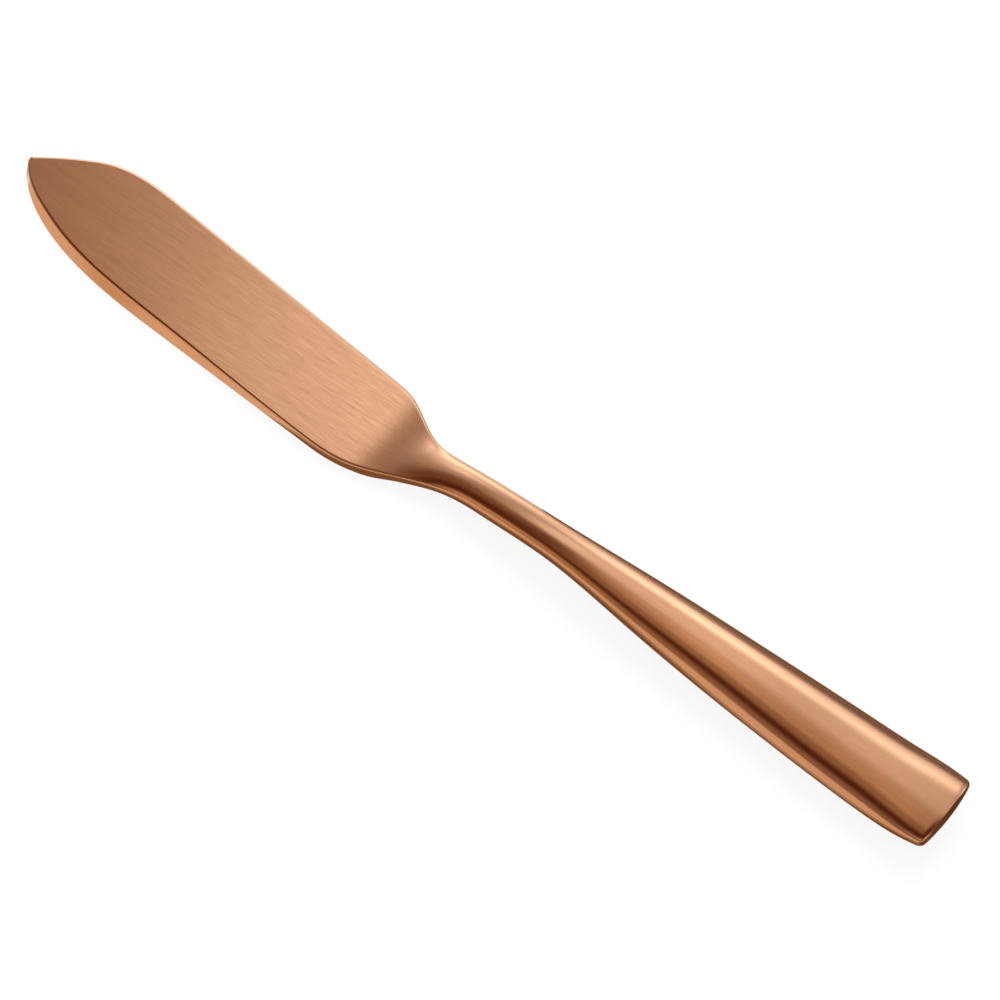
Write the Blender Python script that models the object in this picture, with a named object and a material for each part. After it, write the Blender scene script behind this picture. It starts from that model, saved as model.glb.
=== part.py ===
"""Butter knife with a hollow handle, built as its maker would build it.

A forged blade carries its own neck, a spigot and a tang. Two pressed half shells and a butt plate are soldered
round the spigot to make the handle, and a cast filler holds the tang inside it.

X runs along the knife, tip towards -X and butt towards +X. The cutting edge faces -Y and the spine +Y.
The knife lies on z = 0. It is drawn with the handle's axis at y = 0, and its parent then centres the outline
on the origin. Sizes below are in millimetres, and the model is built in metres.
"""
import bmesh
import bpy
import numpy as np

MM = 0.001

# Lengths along the knife
BLADE_LENGTH = 71.6          # tip to the foot of the heel
NECK_LENGTH = 29.5           # foot of the heel to the joint with the handle
HANDLE_LENGTH = 69.9         # joint to the end of the butt

# Blade
BLADE_THICKNESS = 2.1
SPINE_REACH = 7.49           # spine to the knife's axis, at the heel
SPINE_SLOPE = 0.0786         # the spine climbs this much for each millimetre towards the tip
EDGE_REACH = 8.28            # cutting edge to the knife's axis, at the heel
EDGE_SLOPE = 0.0246          # the edge closes in this much for each millimetre towards the tip
TIP_OFFSET = 3.30            # tip to the knife's axis, on the spine side
TIP_TRIM = 0.06              # ground off the point, so that the tip is blunt
CLIP_SLOPE = 0.828           # the clipped edge leaves the tip with this slope
CLIP_CURVE = 0.0158          # and bends in by this much for each square millimetre
CLIP_ROUND = 2.84            # softness of the corner between the clip and the spine
BELLY_LENGTH = 36.8          # tip to where the belly runs into the straight edge
BELLY_FULLNESS = 2.95        # exponents of the belly's curve
BELLY_POINT = 0.693
TIP_ROUND = 0.5              # radius of the tip seen from the side
EDGE_ROUND = 0.35            # radius on the cutting edge
SPINE_ROUND = 0.6            # radius on the spine
BEVEL_WIDTH = 1.2            # widest part of the bevel over the cutting edge, in plan
BEVEL_TIP = 0.5              # its width at the tip, as a share of that
BEVEL_GROW = 12.0            # tip to where it has grown to its full width
BEVEL_LENGTH = 50.0          # foot of the heel to where the bevel is widest
BEVEL_CREASE = 0.35          # radius of the crease between the bevel and the blade's face

# Heel, where the thin blade swells into the neck
RAMP_LENGTH = 11.0           # the upper face climbs from the blade in this length
UNDER_LENGTH = 6.8           # the lower face leaves the table in this length
UNDER_DELAY = 2.7            # and starts this far behind the foot of the heel
SPINE_SHOULDER = 15.5        # the spine draws in to the neck in this length
SPINE_LEAD = 1.6             # and starts this far before the foot of the heel
EDGE_SHOULDER = 28.4         # the cutting edge draws in to the neck in this length
EDGE_LEAD = 6.4
ROUNDING_LENGTH = 14.0       # the flat section turns into an oval in this length
ROUNDING_DELAY = 4.0

# Neck and handle
NECK_WIDTH = 5.48            # slenderest place
SWELL_WIDTH = 7.74           # a quarter of the way along the handle
GRIP_WIDTH = 9.74            # the middle of the handle
BUTT_WIDTH = 12.12           # widest place
END_WIDTH = 11.4             # end face
NECK_HEIGHT = 3.73
NECK_RISE = 1.95             # underside of the neck above the table
GRIP_TOP = 7.0               # highest place of the handle above the table
BUTT_TOP = 6.72              # upper face near the butt
END_TOP = 6.6                # upper edge of the end face
END_RISE = 3.01              # lower edge of the end face
END_ROUND = 0.82             # radius of the end face's corners in plan
END_DOME = 0.4               # swell of the end face
SQUARENESS = 2.5             # exponent of the handle's oval section, 2 is an ellipse

# Inside the handle
WALL = 0.8                   # sheet that the half shells are pressed from
SOLDER_GAP = 0.2             # between soldered pieces
CEMENT_GAP = 0.2             # round the filler
SPIGOT_LENGTH = 3.5
TANG_LENGTH = 44.0
TANG_WIDTH = 2.0
TANG_THICKNESS = 1.1
TANG_TAPER = 0.7             # size of the tang's end as a share of its root
TANG_ROUND = 0.2             # radius on the tang's edges
NOTCH_COUNT = 3              # keying notches in each side of the tang
NOTCH_DEPTH = 0.35
NOTCH_LENGTH = 2.4
PLATE_THICKNESS = 1.5        # butt plate, without its rib
RIB_LENGTH = 1.2             # rib on the plate that locates it in the shells

# Fineness of the facets
ARC_POINTS = 4
FLAT_POINTS = 10
SHELL_STEPS = 14
DOME_SHARES = (1.0, 0.9, 0.65, 0.35)
SKIRT_SHARES = (0.0, 0.25, 0.6, 0.85)

# Places along the knife
LENGTH = BLADE_LENGTH + NECK_LENGTH + HANDLE_LENGTH
TIP_X = -LENGTH / 2
HEEL_X = TIP_X + BLADE_LENGTH
JOINT_X = HEEL_X + NECK_LENGTH
BUTT_X = JOINT_X + HANDLE_LENGTH
SPIGOT_X = JOINT_X + SPIGOT_LENGTH
TANG_X = SPIGOT_X + TANG_LENGTH
RIM_X = BUTT_X - END_DOME
PLATE_X = BUTT_X - PLATE_THICKNESS
RIB_X = PLATE_X - RIB_LENGTH
SOLDER_FIT = WALL + SOLDER_GAP
CEMENT_FIT = WALL + CEMENT_GAP
SECTION_POINTS = 4 * ARC_POINTS + 2 * FLAT_POINTS
SECTION_ANGLES = 2 * np.pi * (np.arange(SECTION_POINTS) - ARC_POINTS + 0.5) / SECTION_POINTS


def ease(start, length, x):
    """0 before start, 1 a length later, with no jump in curvature."""
    u = np.clip((x - start) / length, 0.0, 1.0)
    return u ** 3 * (10 - 15 * u + 6 * u * u)


def soft_min(a, b, softness):
    """The lower of two values, rounded where they cross."""
    closeness = max(softness - abs(a - b), 0.0) / softness
    return min(a, b) - closeness ** 2 * softness / 4


def along_neck(share):
    return HEEL_X + share * NECK_LENGTH


def along_handle(share):
    return JOINT_X + share * HANDLE_LENGTH


def spline(points):
    """Natural cubic curve through the points, straight before the first."""
    xs, ys = np.array(points).T
    h = np.diff(xs)
    rise = np.diff(ys) / h
    last = len(xs) - 1
    matrix = np.zeros((last + 1, last + 1))
    right = np.zeros(last + 1)
    matrix[0, :2] = 2, 1
    matrix[last, last - 1:] = 1, 2
    right[0], right[last] = 3 * rise[0], 3 * rise[-1]
    for i in range(1, last):
        matrix[i, i - 1:i + 2] = h[i], 2 * (h[i - 1] + h[i]), h[i - 1]
        right[i] = 3 * (h[i] * rise[i - 1] + h[i - 1] * rise[i])
    slopes = np.linalg.solve(matrix, right)

    def curve(x):
        if x <= xs[0]:
            return ys[0] + slopes[0] * (x - xs[0])
        i = min(int(np.searchsorted(xs, x)) - 1, last - 1)
        u = (x - xs[i]) / h[i]
        return ((1 + 2 * u) * (1 - u) ** 2 * ys[i] + u * (1 - u) ** 2 * h[i] * slopes[i]
                + u * u * (3 - 2 * u) * ys[i + 1] + u * u * (u - 1) * h[i] * slopes[i + 1])
    return curve


# Long curves of the neck and the handle, at places shared by all three
HEEL_END, RAMP_END = along_neck(0.12), along_neck(0.30)
NECK_MIDDLE, NECK_WAIST = along_neck(0.46), along_neck(0.78)
HANDLE_START, HANDLE_SWELL, HANDLE_GRIP = along_handle(0.06), along_handle(0.26), along_handle(0.48)
HANDLE_REAR, HANDLE_BUTT, HANDLE_TURN = along_handle(0.75), along_handle(0.87), along_handle(0.95)
NECK_TOP = NECK_RISE + NECK_HEIGHT

handle_half_width = spline((
    (HEEL_END, 0.40 * NECK_WIDTH), (NECK_WAIST, NECK_WIDTH / 2), (HANDLE_START, 0.52 * NECK_WIDTH),
    (HANDLE_SWELL, SWELL_WIDTH / 2), (HANDLE_GRIP, GRIP_WIDTH / 2), (HANDLE_REAR, 0.483 * BUTT_WIDTH),
    (HANDLE_BUTT, 0.497 * BUTT_WIDTH), (HANDLE_TURN, BUTT_WIDTH / 2), (BUTT_X, END_WIDTH / 2)))
handle_top = spline((
    (HEEL_END, 0.498 * NECK_TOP), (RAMP_END, 0.535 * NECK_TOP), (NECK_MIDDLE, 0.722 * NECK_TOP),
    (NECK_WAIST, NECK_TOP), (HANDLE_START, 0.957 * GRIP_TOP), (HANDLE_SWELL, GRIP_TOP),
    (HANDLE_GRIP, GRIP_TOP), (HANDLE_REAR, BUTT_TOP), (HANDLE_TURN, BUTT_TOP), (BUTT_X, END_TOP)))
handle_underside = spline((
    (HEEL_END, 0.36 * NECK_RISE), (NECK_WAIST, NECK_RISE), (HANDLE_START, 1.44 * NECK_RISE),
    (HANDLE_SWELL, 0.88 * NECK_RISE), (HANDLE_GRIP, 0.10 * NECK_RISE), (HANDLE_REAR, 0.0),
    (HANDLE_BUTT, 0.11 * END_RISE), (HANDLE_TURN, 0.57 * END_RISE), (BUTT_X, END_RISE)))


def quarter_round(radius, into):
    """Drop of a quarter round, where into is the way gone from its start, and a little short of its end."""
    into = min(max(into, 0.0), 0.98 * radius)
    return radius - (radius * radius - into * into) ** 0.5


def half_handle(x):
    """Half width of neck and handle, with the end's corners rounded."""
    return handle_half_width(x) - quarter_round(END_ROUND, x - RIM_X + END_ROUND)


def spine_side(x):
    """Outline of the knife on its spine side, from the clipped tip to the butt."""
    from_point = x - TIP_X + TIP_TRIM
    clip = TIP_OFFSET + CLIP_SLOPE * from_point - CLIP_CURVE * from_point ** 2
    spine = SPINE_REACH + SPINE_SLOPE * (HEEL_X - x)
    blade = soft_min(clip, spine, CLIP_ROUND) if from_point < BELLY_LENGTH else spine
    return blade + (half_handle(x) - blade) * ease(HEEL_X - SPINE_LEAD, SPINE_SHOULDER, x)


def edge_side(x):
    """Outline of the knife on its cutting side, from the belly to the butt."""
    edge = EDGE_REACH - EDGE_SLOPE * (HEEL_X - x)
    along = min((x - TIP_X + TIP_TRIM) / BELLY_LENGTH, 1.0)
    belly = (1 - (1 - along) ** BELLY_FULLNESS) ** BELLY_POINT
    blade = TIP_OFFSET - (TIP_OFFSET + edge) * belly
    return blade + (-half_handle(x) - blade) * ease(HEEL_X - EDGE_LEAD, EDGE_SHOULDER, x)


def tip_drop(x):
    """How far the rounded tip falls short of the blade's faces."""
    return quarter_round(TIP_ROUND, TIP_X + TIP_ROUND - x)


def top_side(x):
    climb = (handle_top(x) - BLADE_THICKNESS) * ease(HEEL_X, RAMP_LENGTH, x)
    return BLADE_THICKNESS + climb - tip_drop(x)


def under_side(x):
    return max(handle_underside(x), 0.0) * ease(HEEL_X + UNDER_DELAY, UNDER_LENGTH, x) + tip_drop(x)


def bounds_at(x, inset=0.0):
    """Spine, edge, low and high limits of the knife at x, drawn in by inset."""
    return spine_side(x) - inset, edge_side(x) + inset, under_side(x) + inset, top_side(x) - inset


def bevel_at(x):
    """Plan width of the bevel, which is slimmer at the tip and runs out at the heel."""
    grown = BEVEL_TIP + (1 - BEVEL_TIP) * ease(TIP_X, BEVEL_GROW, x)
    width = BEVEL_WIDTH * grown * (1 - ease(HEEL_X - BEVEL_LENGTH, BEVEL_LENGTH, x))
    return min(width, 0.55 * (spine_side(x) - edge_side(x)))


def bar_section(spine, edge, low, high, radii, bevel=0.0):
    """Flat bar with corners of two radii: spine corners, upper face, edge corners, lower face."""
    back, r = (min(radius, 0.3 * (spine - edge - bevel), 0.45 * (high - low)) for radius in radii)
    crease = r + (min(BEVEL_CREASE, r) - r) * bevel / BEVEL_WIDTH
    lean = 180 - np.degrees(np.arctan2(bevel, high - low))
    corners = ((spine - back, low + back, back, -90, 0), (spine - back, high - back, back, 0, 90),
               (edge + bevel + crease, high - crease, crease, 90, lean), (edge + r, low + r, r, lean, 270))
    arcs = []
    for y, z, size, start, end in corners:
        turn = np.radians(np.linspace(start, end, ARC_POINTS))
        arcs.append(np.stack([y + size * np.cos(turn), z + size * np.sin(turn)], 1))
    between = np.linspace(0, 1, FLAT_POINTS + 2)[1:-1, None]
    upper = arcs[1][-1] + (arcs[2][0] - arcs[1][-1]) * between
    lower = arcs[3][-1] + (arcs[0][0] - arcs[3][-1]) * between
    return np.concatenate([arcs[0], arcs[1], upper, arcs[2], arcs[3], lower])


def oval_section(spine, edge, low, high, angles=SECTION_ANGLES):
    """Oval of the given limits, fuller than an ellipse."""
    across, up = np.cos(angles), np.sin(angles)
    power = 2 / SQUARENESS
    y = (spine + edge) / 2 + (spine - edge) / 2 * np.sign(across) * np.abs(across) ** power
    z = (high + low) / 2 + (high - low) / 2 * np.sign(up) * np.abs(up) ** power
    return np.stack([y, z], 1)


def ring(x, section):
    """Section placed at x along the knife."""
    return np.column_stack([np.full(len(section), x), section])


def oval_ring(x, inset=0.0):
    return ring(x, oval_section(*bounds_at(x, inset)))


def outer_ring(x):
    """Full section of the knife at x: flat bar at the blade, oval at the neck."""
    oval = oval_section(*bounds_at(x))
    bar = bar_section(*bounds_at(x), (SPINE_ROUND, EDGE_ROUND), bevel_at(x))
    return ring(x, bar + (oval - bar) * ease(HEEL_X + ROUNDING_DELAY, ROUNDING_LENGTH, x))


def notch_middles():
    """Places of the keying notches, evenly along the tang."""
    return [SPIGOT_X + TANG_LENGTH * (i + 1) / (NOTCH_COUNT + 1) for i in range(NOTCH_COUNT)]


def tang_stations():
    """Stations along the tang, with the four corners of every notch."""
    corners = [middle + NOTCH_LENGTH * share for middle in notch_middles() for share in (-0.5, -0.25, 0.25, 0.5)]
    return [SPIGOT_X, *corners, TANG_X]


def tang_ring(x, spare=0.0):
    """Section of the tang at x, or of its pocket when spare is its clearance."""
    taper = 1 - (1 - TANG_TAPER) * (x - SPIGOT_X) / TANG_LENGTH
    inside_notch = any(abs(x - middle) < 0.3 * NOTCH_LENGTH for middle in notch_middles())
    half_width = TANG_WIDTH / 2 * taper - NOTCH_DEPTH * inside_notch + spare
    half_height = TANG_THICKNESS / 2 * taper + spare
    middle = (top_side(x) + under_side(x)) / 2
    limits = (half_width, -half_width, middle - half_height, middle + half_height)
    return ring(x, bar_section(*limits, (TANG_ROUND, TANG_ROUND)))


def spaced(start, end, step):
    """Stations from start to end, no further apart than step."""
    return np.linspace(start, end, max(int(np.ceil((end - start) / step)), 1) + 1)


def material(name, colour, roughness, metallic):
    made = bpy.data.materials.new(name)
    made.use_nodes = True
    shader = made.node_tree.nodes["Principled BSDF"]
    shader.inputs["Base Color"].default_value = (*colour, 1.0)
    shader.inputs["Roughness"].default_value = roughness
    shader.inputs["Metallic"].default_value = metallic
    return made


def loft(name, rings, finish, caps=None):
    """Closed solid through rings of equal counts. caps lists the faces of each end, by default one polygon."""
    count = len(rings[0])
    mesh = bmesh.new()
    rows = [[mesh.verts.new(point * MM) for point in points] for points in rings]
    for a, b in zip(rows, rows[1:]):
        for i in range(count):
            j = (i + 1) % count
            mesh.faces.new((a[i], a[j], b[j], b[i]))
    for row in (rows[0], rows[-1]):
        for face in caps or [range(count)]:
            mesh.faces.new([row[i] for i in face])
    bmesh.ops.recalc_face_normals(mesh, faces=mesh.faces)
    data = bpy.data.meshes.new(name)
    mesh.to_mesh(data)
    mesh.free()
    data.shade_smooth()
    data.set_sharp_from_angle(angle=np.radians(30))
    data.materials.append(finish)
    made = bpy.data.objects.new(name, data)
    bpy.context.scene.collection.objects.link(made)
    return made


def blade(finish):
    """Blade, heel, neck, spigot and tang: one forging, drawn as a single loft."""
    round_tip = BELLY_LENGTH / 2
    tip = TIP_X + round_tip * np.linspace(0, 1, 18) ** 2
    stations = np.concatenate([
        tip, spaced(TIP_X + round_tip, HEEL_X - EDGE_LEAD, 5.0)[1:],
        spaced(HEEL_X - EDGE_LEAD, HEEL_X + SPINE_SHOULDER, 1.2)[1:],
        spaced(HEEL_X + SPINE_SHOULDER, JOINT_X, 2.5)[1:]])
    rings = [outer_ring(x) for x in stations]
    rings += [oval_ring(x, SOLDER_FIT) for x in (JOINT_X, SPIGOT_X)]
    rings += [tang_ring(x) for x in tang_stations()]
    return loft("blade", rings, finish)


def shell_ring(x, side):
    """C-shaped section of a half shell, out along its skin and back inside. side is 1 above and -1 below."""
    angles = side * np.linspace(0, np.pi, SHELL_STEPS + 1)
    middle = (top_side(x) + under_side(x)) / 2
    skins = []
    for inset in (0.0, WALL):
        y, z = oval_section(*bounds_at(x, inset), angles).T
        height = np.maximum(side * (z - middle), SOLDER_GAP / 2)
        skins.append(np.stack([y, middle + side * height], 1))
    return ring(x, np.concatenate([skins[0], skins[1][::-1]]))


def half_shell(name, side, finish):
    """Upper or lower half of the handle, pressed from sheet."""
    rings = [shell_ring(x, side) for x in spaced(JOINT_X + SOLDER_GAP, PLATE_X - SOLDER_GAP, 2.8)]
    last = 2 * SHELL_STEPS + 1
    caps = [(i, i + 1, last - i - 1, last - i) for i in range(SHELL_STEPS)]
    return loft(name, rings, finish, caps)


def butt_plate(finish):
    """Slightly domed end of the handle, with a rib that locates it inside the shells."""
    rings = [oval_ring(RIB_X, SOLDER_FIT), oval_ring(PLATE_X, SOLDER_FIT)]
    rings += [oval_ring(PLATE_X + (RIM_X - PLATE_X) * share) for share in SKIRT_SHARES]
    rim = oval_ring(RIM_X)
    centre = rim.mean(axis=0)
    flat = DOME_SHARES[-1]
    for share in DOME_SHARES:
        dome = centre + (rim - centre) * share
        dome[:, 0] = BUTT_X - END_DOME * (share ** 2 - flat ** 2) / (1 - flat ** 2)
        rings.append(dome)
    return loft("butt_plate", rings, finish)


def handle_filler(finish):
    """Cast core of the handle. The loft runs along its skin, turns in at its mouth and ends on the pocket's floor."""
    mouth = SPIGOT_X + CEMENT_GAP
    skin = [oval_ring(x, CEMENT_FIT) for x in spaced(mouth, RIB_X - CEMENT_GAP, 4.0)[::-1]]
    pocket = [tang_ring(x, CEMENT_GAP) for x in (mouth, *tang_stations()[1:-1], TANG_X + CEMENT_GAP)]
    return loft("handle_filler", skin + pocket, finish)


def main():
    for old in list(bpy.data.objects):
        bpy.data.objects.remove(old, do_unlink=True)
    copper = material("brushed_copper_coat", (0.58, 0.30, 0.17), 0.3, 1.0)
    cement = material("resin_cement", (0.55, 0.50, 0.42), 0.8, 0.0)
    forging = blade(copper)
    pieces = [forging, half_shell("upper_handle_shell", 1, copper), half_shell("lower_handle_shell", -1, copper),
              butt_plate(copper), handle_filler(cement)]
    knife = bpy.data.objects.new("knife", None)
    bpy.context.scene.collection.objects.link(knife)
    sides = [vertex.co.y for vertex in forging.data.vertices]
    knife.location.y = -(min(sides) + max(sides)) / 2
    for piece in pieces:
        piece.parent = knife


main()
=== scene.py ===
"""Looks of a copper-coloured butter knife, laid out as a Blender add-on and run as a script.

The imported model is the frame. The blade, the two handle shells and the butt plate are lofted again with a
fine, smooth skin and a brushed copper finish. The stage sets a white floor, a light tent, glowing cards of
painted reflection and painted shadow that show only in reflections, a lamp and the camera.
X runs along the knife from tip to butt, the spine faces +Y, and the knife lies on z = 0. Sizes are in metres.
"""
import math

import bmesh
import bpy
import numpy as np
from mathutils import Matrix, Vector


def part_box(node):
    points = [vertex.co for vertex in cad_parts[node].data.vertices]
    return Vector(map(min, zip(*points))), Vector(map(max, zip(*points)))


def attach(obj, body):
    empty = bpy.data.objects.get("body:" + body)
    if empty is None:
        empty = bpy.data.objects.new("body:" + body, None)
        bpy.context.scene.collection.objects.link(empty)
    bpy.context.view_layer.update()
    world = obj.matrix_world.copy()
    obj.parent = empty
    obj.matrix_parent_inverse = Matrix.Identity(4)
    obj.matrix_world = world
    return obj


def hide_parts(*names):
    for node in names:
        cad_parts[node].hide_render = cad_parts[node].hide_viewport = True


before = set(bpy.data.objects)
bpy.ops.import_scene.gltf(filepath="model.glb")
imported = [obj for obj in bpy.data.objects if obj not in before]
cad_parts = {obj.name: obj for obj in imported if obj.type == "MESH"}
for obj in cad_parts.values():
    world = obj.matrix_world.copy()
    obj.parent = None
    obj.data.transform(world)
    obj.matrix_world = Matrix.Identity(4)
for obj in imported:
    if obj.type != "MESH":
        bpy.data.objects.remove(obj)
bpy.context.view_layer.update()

bl_info = {
    "name": "Butter knife",
    "version": (1, 0, 0),
    "blender": (4, 5, 0),
    "location": "View3D > Sidebar > Knife",
    "description": "Lofts a brushed copper butter knife around its packed frame and sets its stage",
    "category": "Object",
}

BODY = "root"

# The frame gives the handle's axis, which lies beside the middle of the outline
SHELL_LOW, SHELL_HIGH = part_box("upper_handle_shell")
AXIS_Y = (SHELL_LOW.y + SHELL_HIGH.y) / 2
TIP_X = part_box("blade")[0].x
BUTT_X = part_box("butt_plate")[1].x

# Fineness of the skins
ARC_POINTS = 10
FLAT_POINTS = 60
SECTION_POINTS = 4 * ARC_POINTS + 2 * FLAT_POINTS
SECTION_ANGLES = 2 * np.pi * (np.arange(SECTION_POINTS) - ARC_POINTS + 0.5) / SECTION_POINTS
SHELL_STEPS = 80
TIP_STATIONS = 90
BLADE_STEP = 0.0007
HEEL_STEP = 0.00025
NECK_STEP = 0.0005
HANDLE_STEP = 0.0006
SKIRT_STEP = 0.0002
RIM_RINGS = 16
DOME_RINGS = 40
DOME_CENTRE = 0.02
RUBBED_RIM = 0.96
NORMAL_STEP = 0.00002
SHARP_ANGLE = math.radians(50)
FLAT_END = 0.95

# Limits that keep corners and bevels inside a slim section, and notches of the tang as shares of their length
ROUND_END = 0.98
BEVEL_MOST = 0.55
CORNER_WIDTH, CORNER_HEIGHT = 0.3, 0.45
NOTCH_FLOOR, NOTCH_MOUTH = 0.25, 0.5

# Stage pieces lie in thin layers over each other
WHITE, BLACK, FLOOR_CLOTH = (1.0, 1.0, 1.0), (0.0, 0.0, 0.0), (0.92, 0.92, 0.92)
FLOOR_HALF = 3.0
FLOOR_HEIGHT, CARD_HEIGHT, SHADE_HEIGHT, END_HEIGHT = -0.00003, 0.0001, 0.0002, 0.0003
CARD_STEP = 0.003
TENT_SEGMENTS = 96

# Glowing cards of painted reflection and painted shadow on the floor. Each line of the two back cards starts
# at the handle's axis and ends at BACK_Y
FRONT_HALF = 0.4
FOOT_LEAD, FOOT_GROW, FOOT_SHARE = 0.02, 0.03, 0.45
END_GAP, END_REACH, END_FRONT, END_BACK = 0.0005, 0.05, 0.02, 0.04
BACK_Y = 0.30
BACK_LINES = ((-0.12, -0.25), (0.0155, -0.098), (0.13, 0.13))

# Camera body
SENSOR_WIDTH = 36.0
CLIP_NEAR, CLIP_FAR = 0.01, 20.0


def length(label, description, default):
    return bpy.props.FloatProperty(name=label, description=description, default=default, min=0.0, precision=5,
                                   subtype="DISTANCE", unit="LENGTH")


def number(label, description, default, low=0.0, high=100.0):
    return bpy.props.FloatProperty(name=label, description=description, default=default, min=low, max=high,
                                   precision=4)


def share(label, description, default):
    return bpy.props.FloatProperty(name=label, description=description, default=default, min=0.0, max=1.0,
                                   subtype="FACTOR")


def degrees(label, description, default):
    return bpy.props.FloatProperty(name=label, description=description, default=math.radians(default),
                                   subtype="ANGLE", unit="ROTATION")


def tint(label, description, default):
    return bpy.props.FloatVectorProperty(name=label, description=description, default=default, size=3,
                                         subtype="COLOR", min=0.0, max=1.0)


class KnifeBladeSizes(bpy.types.PropertyGroup):
    """Sizes of the flat blade."""
    length: length("Length", "Tip to the foot of the heel", 0.0716)
    thickness: length("Thickness", "Blade between its two faces", 0.0021)
    spine_reach: length("Spine reach", "Spine to the knife's axis at the heel", 0.00749)
    spine_slope: number("Spine slope", "Climb of the spine towards the tip", 0.0786)
    edge_reach: length("Edge reach", "Cutting edge to the knife's axis at the heel", 0.00828)
    edge_slope: number("Edge slope", "How the edge closes in towards the tip", 0.0246)
    tip_offset: length("Tip offset", "Tip to the knife's axis", 0.0033)
    tip_trim: length("Tip trim", "Ground off the point", 0.00006)
    tip_cut: length("Tip cut", "Further blunting of the point", 0.00025)
    clip_slope: number("Clip slope", "Slope of the clipped edge at the tip", 0.828)
    clip_curve: number("Clip curve", "Bend of the clipped edge, per metre", 15.8)
    clip_round: length("Clip round", "Softness of the corner between clip and spine", 0.00284)
    belly_length: length("Belly length", "Tip to where the belly meets the straight edge", 0.0368)
    belly_fullness: number("Belly fullness", "Exponent of the belly along the blade", 2.95)
    belly_point: number("Belly point", "Exponent of the belly across the blade", 0.693)
    tip_round: length("Tip round", "Radius of the tip seen from the side", 0.0005)
    edge_round: length("Edge round", "Radius on the cutting edge", 0.00035)
    spine_round: length("Spine round", "Radius on the spine", 0.0006)
    bevel_width: length("Bevel width", "Widest part of the bevel in plan", 0.0009)
    bevel_tip: share("Bevel at the tip", "Width of the bevel at the tip as a share of its widest part", 0.5)
    bevel_grow: length("Bevel grow", "The bevel reaches its full width this far from the tip", 0.012)
    bevel_length: length("Bevel length", "Heel to where the bevel is widest", 0.050)
    bevel_crease: length("Bevel crease", "Radius between the bevel and the face", 0.0006)


class KnifeHeelSizes(bpy.types.PropertyGroup):
    """How the thin blade swells into the neck."""
    ramp_softness: length("Ramp softness", "Roundness of the hollow where the upper face climbs", 0.001225)
    under_length: length("Under length", "The lower face leaves the table in this length", 0.0068)
    under_delay: length("Under delay", "Start of that behind the heel", 0.0027)
    spine_shoulder: length("Spine shoulder", "The spine draws in to the neck in this length", 0.0155)
    spine_lead: length("Spine lead", "Start of that before the heel", 0.0016)
    edge_shoulder: length("Edge shoulder", "The edge draws in to the neck in this length", 0.0284)
    edge_lead: length("Edge lead", "Start of that before the heel", 0.0064)
    rounding_length: length("Rounding length", "The flat section turns oval in this length", 0.014)
    rounding_delay: length("Rounding delay", "Start of that behind the heel", 0.004)


class KnifeHandleSizes(bpy.types.PropertyGroup):
    """Sizes of the neck and the handle."""
    neck_length: length("Neck length", "Foot of the heel to the joint", 0.0295)
    length: length("Handle length", "Joint to the end of the butt", 0.0699)
    neck_width: length("Neck width", "Slenderest place", 0.00548)
    swell_width: length("Swell width", "A quarter of the way along the handle", 0.00774)
    grip_width: length("Grip width", "Middle of the handle", 0.00974)
    butt_width: length("Butt width", "Widest place", 0.01212)
    end_width: length("End width", "End face", 0.0114)
    neck_height: length("Neck height", "Neck between its upper and lower line", 0.00373)
    neck_rise: length("Neck rise", "Underside of the neck above the table", 0.00195)
    grip_top: length("Grip top", "Highest place above the table", 0.007)
    butt_top: length("Butt top", "Upper face near the butt", 0.0066)
    end_top: length("End top", "Upper edge of the end face", 0.0066)
    end_rise: length("End rise", "Lower edge of the end face", 0.00301)
    end_round: length("End round", "Radius of the end face's corners in plan", 0.00082)
    end_dome: length("End dome", "Swell of the end face", 0.0004)
    squareness: number("Squareness", "Exponent of the oval section, 2 is an ellipse", 2.5)
    wall: length("Wall", "Sheet of the half shells", 0.0008)
    fit: length("Fit", "Gap of solder round the spigot", 0.0002)
    spigot_length: length("Spigot length", "Spigot inside the shells", 0.0035)
    tang_length: length("Tang length", "Tang inside the filler", 0.044)
    tang_width: length("Tang width", "Tang at its root", 0.002)
    tang_thickness: length("Tang thickness", "Tang at its root", 0.0011)
    tang_round: length("Tang round", "Radius on the tang's long edges", 0.0002)
    tang_taper: share("Tang taper", "Size of the tang's end as a share of its root", 0.7)
    notch_depth: length("Notch depth", "Keying notches in the tang", 0.00035)
    notch_length: length("Notch length", "Keying notches along the tang", 0.0024)
    plate_thickness: length("Plate thickness", "Butt plate without its rib", 0.0015)
    rib_length: length("Rib length", "Rib that locates the butt plate", 0.0012)


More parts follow.
